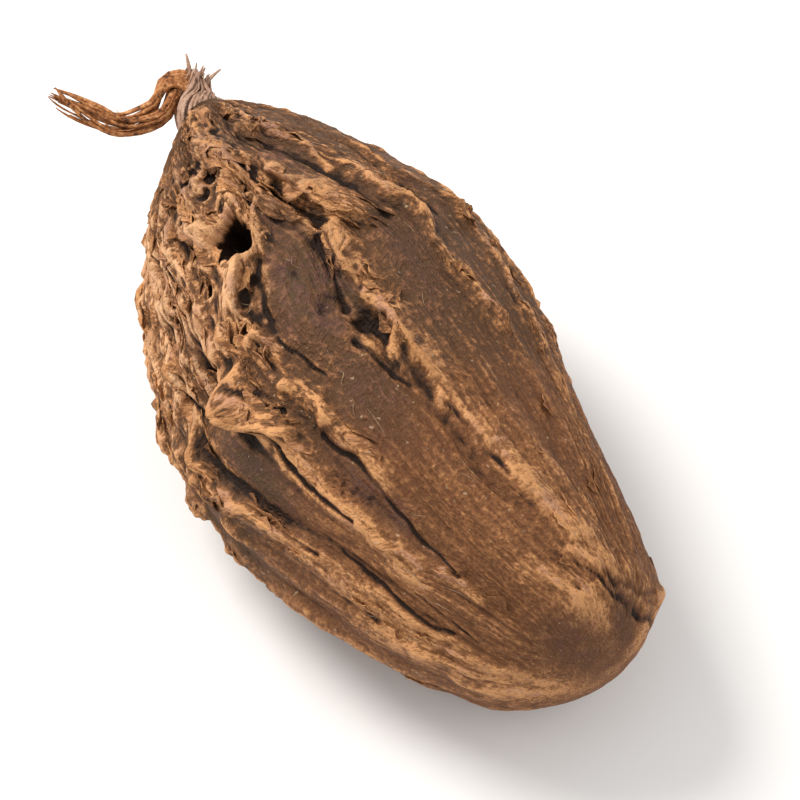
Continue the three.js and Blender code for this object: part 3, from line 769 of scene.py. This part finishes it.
huskFinish = {
    # Near-black that the colour turns to for painted shade in hollows, cracks and pits, and for the skin's
    # darkest grain
    "paintedShadeAndGrain": (0.018, 0.008, 0.004),
    "darkFace": (0.062, 0.040, 0.022), "purpleFace": (0.098, 0.048, 0.042),
    "face": (0.100, 0.046, 0.020),
    "reddish": (0.135, 0.052, 0.020),
    "tan": (0.300, 0.128, 0.048),
    "crest": (0.610, 0.298, 0.122),
    "crust": (0.720, 0.415, 0.220),
    "pink": (0.420, 0.220, 0.150),
    "speck": (0.600, 0.430, 0.260),
    "roughness": 0.68, "roughnessSwing": 0.3,
    "specular": 0.20,
    "pinkShare": 0.7, "streakShare": 0.6, "greyShare": 0.8, "speckShare": 0.45,  # how strongly they show
    "bumpDepth": 0.00034,  # metres
}
huskPatterns = {  # stretch along and across the pod, scale, detail and roughness of the noise
    "fibre": (0.5, 5.0, 1.0, 2.0, 0.55),
    "streak": (0.25, 1.9, 1.0, 3.0, 0.55),
    "line": (0.10, 2.8, 1.0, 2.0, 0.55),
    "grain": (1.0, 1.0, 2.9, 3.0, 0.7),
    "grit": (1.0, 1.0, 6.0, 2.0, 0.6),
    "mottle": (0.8, 1.3, 1.0, 4.0, 0.7),
    "tint": (0.5, 0.9, 1.3, 2.0, 0.55),
}


def huskPattern(graph, flow, name):  # between about -0.5 and 0.5
    along, across, scale, detail, roughness = huskPatterns[name]
    return graph.noise(graph.stretched(flow, (along, across, across)), scale, detail, roughness) - 0.5


def huskMaterial():
    graph = Graph("driedHusk")
    flow = graph.attribute("flow", "Vector")
    masks = ("tan", "dark", "calm", "deepShade", "crusted", "fineHollow", "wideHollow")
    tan, dark, calm, deepShade, crusted, fineHollow, wideHollow = [graph.attribute(name, "Fac") for name in masks]
    fibre, streak, line, grain, grit, mottle, tint = [huskPattern(graph, flow, name) for name in huskPatterns]
    paleSpeck = graph.band(graph.noise(flow, 3.6, 1.0), 0.70, 0.80)
    torn = 1.0 - calm
    mixed = 0.6 * streak + 0.7 * calm * line + (0.3 + 0.5 * torn) * fibre + 2.0 * grit
    mixed = mixed + (1.3 + 1.8 * torn - 1.1 * crusted) * grain
    # Fine hollows lose warmth as painted shade.
    warmth = tan + mixed + (0.8 + 0.6 * torn) * mottle - 0.6 * fineHollow
    face = graph.mix(huskFinish["face"], huskFinish["reddish"], graph.band(calm + mottle, 0.3, 1.1))
    colour = graph.mix(face, huskFinish["tan"], graph.band(warmth, -0.1, 1.0))
    crest = graph.mix(huskFinish["crest"], huskFinish["crust"], crusted)
    pinkish = graph.band(tint + 0.3 * grain, 0.02, 0.2)
    crest = graph.mix(crest, huskFinish["pink"], pinkish * huskFinish["pinkShare"])
    streaked = graph.band(streak + 0.5 * mottle + 0.7 * grain, 0.0, 0.22)
    crest = graph.mix(crest, huskFinish["tan"], streaked * huskFinish["streakShare"])
    colour = graph.mix(colour, crest, graph.band(warmth, 0.6, 1.35))
    greyed = dark * graph.band(mottle + 0.8 * grain + 0.8 * grit, -0.25, 0.15)
    purple = graph.band(tint + 1.2 * grain, -0.1, 0.12)
    faceTint = graph.mix(huskFinish["darkFace"], huskFinish["purpleFace"], purple)
    colour = graph.mix(colour, faceTint, greyed * huskFinish["greyShare"])
    colour = graph.mix(colour, huskFinish["speck"], paleSpeck * huskFinish["speckShare"])
    # Painted shade: hollows, cracks, pits and wrinkle gaps darken towards near black, together with the
    # skin's own dark grain, grit and mottle
    paintedShadeAndGrain = 0.8 * wideHollow + 0.6 * fineHollow + (1.8 - 1.0 * crusted) * grain + 0.8 * grit
    paintedShadeAndGrain = paintedShadeAndGrain + (0.5 + 0.5 * torn) * mottle + 1.9 * deepShade - 0.35 * crusted
    colour = graph.mix(colour, huskFinish["paintedShadeAndGrain"], graph.band(paintedShadeAndGrain, 0.25, 1.55))
    roughness = huskFinish["roughness"] + huskFinish["roughnessSwing"] * grain
    height = 0.5 * fibre + (0.4 + 0.3 * torn) * grain + 0.3 * grit + 0.2 * streak
    graph.shader.inputs["Specular IOR Level"].default_value = huskFinish["specular"]
    return graph.finish(colour, roughness, height, huskFinish["bumpDepth"])


huskSkin, huskMap = makeHusk()
driedHusk = huskMaterial()
huskSkin.data.materials.append(driedHusk)
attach(huskSkin, "root")
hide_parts("husk")
print("husk made,", len(huskSkin.data.vertices), "points")


# Flakes of dried skin that stand off the husk along one edge

# Each follows a way and reaches to one side of it, towards larger angles where side is 1.
# Its width is given at the start, middle and end of the way, in mm.
largeFlakes = [
    {"way": [(-8.9, 88), (-8.0, 82.5), (-7.1, 76.5), (-5.3, 72.5)], "width": (0.7, 1.45, 0.9), "side": 1,
     "lift": 0.42},
    {"way": [(-6.4, 112), (-6.2, 118), (-5.6, 122.5), (-4.3, 125)], "width": (0.4, 1.0, 0.8), "side": -1,
     "lift": 0.42},
    {"way": [(-8.2, 103.5), (-7.2, 103.5), (-6.0, 106)], "width": (0.2, 0.5, 0.3), "side": 1, "lift": 0.30},
    {"way": [(-9.9, 133), (-8.7, 127), (-7.4, 124), (-6.6, 122)], "width": (0.3, 0.6, 0.4), "side": -1,
     "lift": 0.30},
    {"way": [(-13.8, 108), (-12.5, 102.5), (-11.0, 101), (-10.0, 104)], "width": (0.4, 0.8, 0.4), "side": 1,
     "lift": 0.28},
    {"way": [(-1.7, 133), (-0.4, 131), (1.0, 129)], "width": (0.9, 1.1, 0.5), "side": 1, "lift": 0.35},
    {"way": [(1.0, 130), (2.7, 128.5), (3.8, 129), (5.6, 128.5)], "width": (0.5, 0.75, 0.3), "side": 1,
     "lift": 0.22},
    {"way": [(-2.0, 129), (-2.5, 124.5), (-2.0, 119)], "width": (0.3, 0.7, 0.3), "side": -1, "lift": 0.22},
    {"way": [(0.4, 122), (1.6, 118), (2.6, 118)], "width": (0.4, 0.7, 0.3), "side": -1, "lift": 0.22},
    {"way": [(-5.6, 81), (-4.4, 84), (-3.0, 86)], "width": (0.4, 0.8, 0.4), "side": 1, "lift": 0.25},
    {"way": [(-0.9, 83), (0.6, 82), (2.4, 80.5)], "width": (0.4, 0.9, 0.4), "side": 1, "lift": 0.28},
    {"way": [(-13.0, 86), (-12.0, 77), (-10.8, 70), (-9.4, 69)], "width": (0.2, 0.5, 0.3), "side": 1,
     "lift": 0.25},
    {"way": [(0.9, 167.5), (2.4, 163.5), (4.0, 159.5), (5.6, 156.5)], "width": (0.3, 0.6, 0.3), "side": -1,
     "lift": 0.18},
]
smallFlakes = {
    "count": 290, "seed": 23,
    "length": (0.6, 2.3), "width": (0.20, 0.65), "lift": (0.05, 0.24),  # mm
    "widthShares": (0.5, 1, 0.4),  # of the width, at the start, middle and end
    "stray": 3,  # degrees that a way may turn to the side
    "fromX": -15.5, "toX": 13.5, "calmShare": 0.25,  # share kept in the calm half
    "leastTan": 0.45, "tanSwing": 0.2,  # they stand on crests and crust alone
    "clearOf": (-7.4, 115, 1.9),  # x, angle and distance kept free for the deep hole
    "outline": (-3, 40, 185), "outlineLift": 0.4,  # beyond this x, outside these angles, they lie flatter
}
flakeMesh = {
    "large": (17, 8), "small": (8, 4),  # points along and across
    "thickness": 0.05, "rooted": 0.12, "overlap": 0.2,  # mm
    "leastWidth": 0.05, "taper": 0.6, "ragged": 0.2, "curl": 1.5, "swing": 0.3,
    "paler": 0.2,  # towards the free edge
    "toneSwing": 0.1, "darkShare": 0.4,
    "phases": {"large": 2.4, "small": 1.7},  # step from flake to flake, so that no two are alike
}


# Fields of the husk at given places, between the four grid points around each
def sampleHusk(x, angle):
    rows, columns = huskMap["angle"].shape
    lastPlace = rows - 1.001  # just short of the last row
    row = np.clip(np.interp(x, huskMap["x"], np.arange(rows)), 0, lastPlace)
    low = row.astype(int)
    column = np.empty(x.shape)
    for k in range(len(x)):
        angles = huskMap["angle"][low[k]]
        column[k] = np.interp((angle[k] - angles[0]) % 360 + angles[0], [*angles, angles[0] + 360],
                              np.arange(columns + 1))
    left = column.astype(int)
    a, b = row - low, column - left
    left, right = left % columns, (left + 1) % columns
    found = {}
    for name, field in huskMap["fields"].items():
        share = (slice(None), *[None] * (field.ndim - 2))
        near = field[low, left] * (1 - b[share]) + field[low, right] * b[share]
        far = field[low + 1, left] * (1 - b[share]) + field[low + 1, right] * b[share]
        found[name] = near * (1 - a[share]) + far * a[share]
    return found


def addFlake(shape, layers, size, base, way, width, side, lift, phase):
    along, across = flakeMesh[size]
    made = bmesh.ops.create_grid(shape, x_segments=along, y_segments=across, size=0.5)["verts"]
    u = np.array([vertex.co.x + 0.5 for vertex in made])
    v = np.array([vertex.co.y + 0.5 for vertex in made])
    way = np.array(way, float)
    at = np.linspace(0, 1, len(way))
    x = np.interp(u, at, way[:, 0])
    angle = np.interp(u, at, way[:, 1])
    radius = readAlong(sections, 1, x)
    run = np.array([way[-1, 0] - way[0, 0], math.radians(way[-1, 1] - way[0, 1]) * radius.mean()])
    run /= np.linalg.norm(run)
    pointed = np.clip(4 * u * (1 - u), flakeMesh["leastWidth"], 1) ** flakeMesh["taper"]
    wide = np.interp(u, [0, 0.5, 1], width) * pointed
    wide *= 1 + flakeMesh["ragged"] * (np.sin(9 * u + phase) + 0.7 * np.sin(23 * u + 2 * phase))
    out = side * (v * wide - flakeMesh["overlap"])
    x = x - out * run[1]
    angle = angle + np.degrees(out * run[0] / radius)
    husk = sampleHusk(np.clip(x, huskForm["apexX"], huskForm["baseX"]), angle)
    ends = np.clip(6 * u * (1 - u), 0, 1)
    raised = lift * (v ** flakeMesh["curl"]) + flakeMesh["thickness"]
    height = raised * ends - flakeMesh["rooted"] * (1 - v * ends)
    height = height * (0.85 + flakeMesh["swing"] * np.sin(5 * u + 3 * phase))
    places = husk[base] + husk["normal"] * height[:, None]
    places[:, 2] = np.maximum(places[:, 2], huskForm["floorZ"] + flakeMesh["thickness"])
    tone = flakeMesh["toneSwing"] * math.sin(phase)
    for k, vertex in enumerate(made):
        vertex.co = places[k] * mm
        vertex[layers["flow"]] = husk["flow"][k] + height[k]
        vertex[layers["tan"]] = husk["tan"][k] + flakeMesh["paler"] * v[k] + tone
        vertex[layers["calm"]] = husk["calm"][k]
        vertex[layers["dark"]] = flakeMesh["darkShare"] * husk["dark"][k]


# Short ways along the crests, at seeded places
def smallWays():
    chance = np.random.RandomState(smallFlakes["seed"])
    rows, columns = huskMap["angle"].shape
    tan, calm = huskMap["fields"]["tan"], huskMap["fields"]["calm"]
    clearX, clearAngle, clearance = smallFlakes["clearOf"]
    outlineX, outlineLow, outlineHigh = smallFlakes["outline"]
    found = []
    while len(found) < smallFlakes["count"]:
        row, column = chance.randint(rows), chance.randint(columns)
        x = huskMap["x"][row]
        kept = tan[row, column] + smallFlakes["tanSwing"] * chance.uniform() > smallFlakes["leastTan"]
        kept = kept and chance.uniform() < 1 - (1 - smallFlakes["calmShare"]) * calm[row, column]
        angle = huskMap["angle"][row, column]
        kept = kept and math.hypot(x - clearX, (angle - clearAngle) * degreeLength) > clearance
        length = chance.uniform(*smallFlakes["length"])
        if kept and smallFlakes["fromX"] < x < smallFlakes["toX"] - length:
            after = min(rows - 1, int(np.searchsorted(huskMap["x"], x + length)))
            endAngle = huskMap["angle"][after, column]
            endAngle += chance.uniform(-smallFlakes["stray"], smallFlakes["stray"])
            width = chance.uniform(*smallFlakes["width"])
            lift = chance.uniform(*smallFlakes["lift"])
            if x > outlineX and not outlineLow < angle % 360 < outlineHigh:
                lift *= smallFlakes["outlineLift"]
            way = [(x, angle), (x + length, endAngle)]
            widths = [share * width for share in smallFlakes["widthShares"]]
            found.append({"way": way, "width": widths, "side": chance.choice((-1, 1)), "lift": lift})
    return found


def makeFlakes():
    shape = bmesh.new()
    layers = {name: shape.verts.layers.float.new(name) for name in ("tan", "calm", "dark")}
    layers["flow"] = shape.verts.layers.float_vector.new("flow")
    for k, flake in enumerate(largeFlakes):
        addFlake(shape, layers, "large", "broadPlace", phase=flakeMesh["phases"]["large"] * k, **flake)
    for k, flake in enumerate(smallWays()):
        addFlake(shape, layers, "small", "place", phase=flakeMesh["phases"]["small"] * k, **flake)
    bmesh.ops.recalc_face_normals(shape, faces=shape.faces[:])
    mesh = bpy.data.meshes.new("huskFlakes")
    shape.to_mesh(mesh)
    shape.free()
    mesh.shade_smooth()
    flakes = bpy.data.objects.new("husk_flakes", mesh)
    thicken = flakes.modifiers.new("thicken", "SOLIDIFY")
    thicken.thickness = flakeMesh["thickness"] * mm
    bpy.context.scene.collection.objects.link(flakes)
    return flakes


huskFlakes = makeFlakes()
huskFlakes.data.materials.append(driedHusk)
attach(huskFlakes, "root")
print("flakes made,", len(huskFlakes.data.vertices), "points")


# The withered flower at the pointed end: a short neck of fibres, teeth round its tip and one long torn strand

calyxForm = {
    "neckPath": [(-15.8, 1.5, 7.95), (-17.0, 1.6, 8.0), (-17.7, 1.7, 8.0), (-18.3, 2.1, 8.2),
                 (-18.8, 2.8, 8.5)],
    "strandPath": [(-17.7, 2.2, 8.1), (-18.2, 1.9, 8.3), (-18.6, 1.0, 8.6), (-18.0, -0.1, 8.2),
                   (-18.4, -1.6, 7.9), (-19.4, -2.5, 8.0), (-20.6, -3.4, 8.4), (-21.3, -3.9, 8.8)],
    "seed": 5,
}
neckBundles = [  # fibres that follow one path side by side
    {"path": "neckPath", "count": 150, "spread": (1.35, 0.55), "flat": 1.0, "turns": 0.10,
     "radius": (0.09, 0.055), "wander": 0.08, "begin": 0.0, "end": (0.72, 1.0), "samples": 12},
    {"path": "neckPath", "count": 7, "spread": (0.45, 0.25), "flat": 1.0, "turns": 0.10,
     "radius": (0.45, 0.22), "wander": 0.04, "begin": 0.0, "end": (0.70, 0.85), "samples": 16},
]
strandBundles = [
    {"path": "strandPath", "count": 22, "spread": (0.62, 0.46), "flat": 0.45, "turns": 0.6,
     "radius": (0.13, 0.06), "wander": 0.12, "begin": 0.0, "end": (0.80, 1.0), "samples": 28},
    {"path": "strandPath", "count": 4, "spread": (0.5, 0.8), "flat": 0.7, "turns": 0.5,
     "radius": (0.05, 0.03), "wander": 0.3, "begin": 0.1, "end": (0.5, 0.97), "samples": 28},
]
teeth = {
    "count": 9, "samples": 8,
    "length": (0.5, 1.2), "radius": 0.16, "start": 0.35,  # mm
    "rootedBack": 6,  # points of the neck's line back from its tip
    "spread": 0.75, "bend": (0.2, 1), "curl": 1.6,  # how far they bend outwards
    "taper": 0.75, "size": (0.7, 1.2), "uneven": 0.3,
}
fibreShape = {
    "inner": 0.15,  # share of the bundle's middle that is left free
    "sway": 0.5, "size": (0.7, 1.25), "knots": 0.2,
    "tip": (0.7, 0.35),  # shares of the radius at the last two points
    "roundness": {"neck": 1, "strand": 2, "loose": 0},
    "mergeDistance": 1e-7,
}


# Points at even steps along a smooth line through the given ones
def smoothPath(way, count):
    way = np.array([way[0], *way, way[-1]], dtype=float)
    found = []
    for place in np.linspace(0, len(way) - 3 - 1e-6, count):
        k = int(place)
        t = place - k
        a, b, c, d = way[k:k + 4]
        found.append(0.5 * (2 * b + (c - a) * t + (2 * a - 5 * b + 4 * c - d) * t ** 2
                            + (3 * b - a - 3 * c + d) * t ** 3))
    return np.array(found)


# Two directions square to a line at each of its points, turned as little as possible on the way
def sideways(line):
    along = np.gradient(line, axis=0)
    along /= np.linalg.norm(along, axis=1, keepdims=True)
    side = np.cross(along[0], (0, 0, 1))
    sides = []
    for tangent in along:
        side = side - tangent * np.dot(side, tangent)
        side = side / np.linalg.norm(side)
        sides.append(side)
    sides = np.array(sides)
    return sides, np.cross(along, sides)


def addFibre(curve, line, radii):
    spline = curve.splines.new("POLY")
    spline.points.add(len(line) - 1)
    for point, place, radius in zip(spline.points, line, radii):
        point.co = (*(place * mm), 1)
        point.radius = radius


def addBundle(curve, bundle, chance):
    line = smoothPath(calyxForm[bundle["path"]], bundle["samples"])
    side, up = sideways(line)
    t = np.linspace(0, 1, len(line))
    for _ in range(bundle["count"]):
        angle = chance.uniform(0, 2 * math.pi)
        out = math.sqrt(chance.uniform(fibreShape["inner"], 1))
        turn = angle + 2 * math.pi * bundle["turns"] * t + fibreShape["sway"] * np.sin(6 * t + angle)
        spread = bundle["spread"][0] + (bundle["spread"][1] - bundle["spread"][0]) * t
        wander = bundle["wander"] * np.sin(chance.uniform(4, 9) * t + chance.uniform(0, 6))
        across = (out * spread + wander) * np.cos(turn)
        above = bundle["flat"] * (out * spread + wander) * np.sin(turn)
        place = line + side * across[:, None] + up * above[:, None]
        radii = bundle["radius"][0] + (bundle["radius"][1] - bundle["radius"][0]) * t
        knots = 1 + fibreShape["knots"] * np.sin(14 * t + angle)
        radii = radii * chance.uniform(*fibreShape["size"]) * knots
        last = int(len(line) * chance.uniform(*bundle["end"]))
        first = int(len(line) * bundle["begin"])
        radii[last - 2:last] *= fibreShape["tip"]
        addFibre(curve, place[first:last], radii[first:last])


def addTeeth(curve, chance):
    line = smoothPath(calyxForm["neckPath"], 4 * len(calyxForm["neckPath"]))
    side, up = sideways(line)
    heading = line[-1] - line[-3]
    heading /= np.linalg.norm(heading)
    for k in range(teeth["count"]):
        angle = 2 * math.pi * (k + chance.uniform(-teeth["uneven"], teeth["uneven"])) / teeth["count"]
        outward = side[-1] * math.cos(angle) + up[-1] * math.sin(angle)
        t = np.linspace(0, 1, teeth["samples"])[:, None]
        length = chance.uniform(*teeth["length"])
        start = line[-teeth["rootedBack"]] + outward * teeth["start"]
        bent = outward * teeth["spread"] * length * t ** teeth["curl"] * chance.uniform(*teeth["bend"])
        radii = teeth["radius"] * (1 - teeth["taper"] * t[:, 0]) * chance.uniform(*teeth["size"])
        addFibre(curve, start + heading * length * t + bent, radii)


def meshOfCurve(curve, name):
    holder = bpy.data.objects.new(name, curve)
    mesh = bpy.data.meshes.new_from_object(holder)
    bpy.data.objects.remove(holder)
    shape = bmesh.new()
    shape.from_mesh(mesh)
    bmesh.ops.remove_doubles(shape, verts=shape.verts[:], dist=fibreShape["mergeDistance"])
    bmesh.ops.recalc_face_normals(shape, faces=shape.faces[:])
    shape.to_mesh(mesh)
    shape.free()
    mesh.name = name
    mesh.shade_smooth()
    made = bpy.data.objects.new(name, mesh)
    bpy.context.scene.collection.objects.link(made)
    return made


def newCurve(name):
    curve = bpy.data.curves.new(name + "Fibres", "CURVE")
    curve.dimensions = "3D"
    curve.bevel_depth = mm
    curve.bevel_resolution = fibreShape["roundness"][name]
    curve.use_fill_caps = True
    return curve


def makeNeck(chance):
    curve = newCurve("neck")
    for bundle in neckBundles:
        addBundle(curve, bundle, chance)
    addTeeth(curve, chance)
    return meshOfCurve(curve, "calyx_neck")


def makeStrand(chance):
    curve = newCurve("strand")
    for bundle in strandBundles:
        addBundle(curve, bundle, chance)
    return meshOfCurve(curve, "calyx_strand")


fibreFinish = {
    "neck": ((0.200, 0.116, 0.078), (0.390, 0.232, 0.158), (0.520, 0.350, 0.256)),  # dark, middle, pale
    "strand": ((0.080, 0.030, 0.011), (0.330, 0.125, 0.042), (0.600, 0.295, 0.122)),
    "loose": ((0.160, 0.090, 0.050), (0.300, 0.185, 0.105), (0.480, 0.340, 0.220)),
    "roughness": 0.65, "specular": 0.2, "bumpDepth": 0.00008,
}


def fibreMaterial(name):
    dark, middle, pale = fibreFinish[name]
    graph = Graph(name + "Fibres")
    place = graph.node("ShaderNodeTexCoord", {}, {}, "Object")
    place = graph.stretched(place, (1 / mm, 1 / mm, 1 / mm))
    tone = graph.noise(place, 2.2, 3.0, 0.6)
    grain = graph.noise(place, 7.0, 2.0)
    colour = graph.mix(dark, middle, graph.band(tone + 0.8 * (grain - 0.5), 0.3, 0.5))
    colour = graph.mix(colour, pale, graph.band(tone + 0.5 * (grain - 0.5), 0.5, 0.75))
    graph.shader.inputs["Specular IOR Level"].default_value = fibreFinish["specular"]
    graph.shader.inputs["Roughness"].default_value = fibreFinish["roughness"]
    return graph.finish(colour, None, grain, fibreFinish["bumpDepth"])


calyxChance = np.random.RandomState(calyxForm["seed"])
for calyxPiece, finishName in ((makeNeck(calyxChance), "neck"), (makeStrand(calyxChance), "strand")):
    calyxPiece.data.materials.append(fibreMaterial(finishName))
    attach(calyxPiece, "root")
    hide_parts("calyx")
    print(calyxPiece.name, "made,", len(calyxPiece.data.vertices), "points")


# Thin pale fibres that lie loose along the husk, at seeded places

looseFibres = {
    "count": 70, "seed": 31,
    "length": (0.4, 1.5), "radius": (0.012, 0.024), "lift": (0.02, 0.06),  # mm
    "fromX": -14.0, "toX": 12.5, "samples": 12,
    "stray": 1.5,  # degrees that they wander to the side
}


def makeLooseFibres():
    chance = np.random.RandomState(looseFibres["seed"])
    curve = newCurve("loose")
    t = np.linspace(0, 1, looseFibres["samples"])
    columns = huskMap["angle"].shape[1]
    for k in range(looseFibres["count"]):
        length = chance.uniform(*looseFibres["length"])
        x = chance.uniform(looseFibres["fromX"], looseFibres["toX"] - length) + length * t
        angle = np.interp(x, huskMap["x"], huskMap["angle"][:, chance.randint(columns)])
        angle += looseFibres["stray"] * np.sin(chance.uniform(1, 5) * t + chance.uniform(0, 6))
        husk = sampleHusk(x, angle)
        height = chance.uniform(*looseFibres["lift"]) * (1 + np.sin(chance.uniform(2, 9) * t + k))
        place = husk["place"] + husk["normal"] * height[:, None]
        place[:, 2] = np.maximum(place[:, 2], huskForm["floorZ"] + looseFibres["radius"][1])
        addFibre(curve, place, chance.uniform(*looseFibres["radius"]) * np.sin(math.pi * (0.1 + 0.8 * t)))
    return meshOfCurve(curve, "husk_fibres")


huskFibres = makeLooseFibres()
huskFibres.data.materials.append(fibreMaterial("loose"))
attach(huskFibres, "root")
print("loose fibres made,", len(huskFibres.data.vertices), "points")
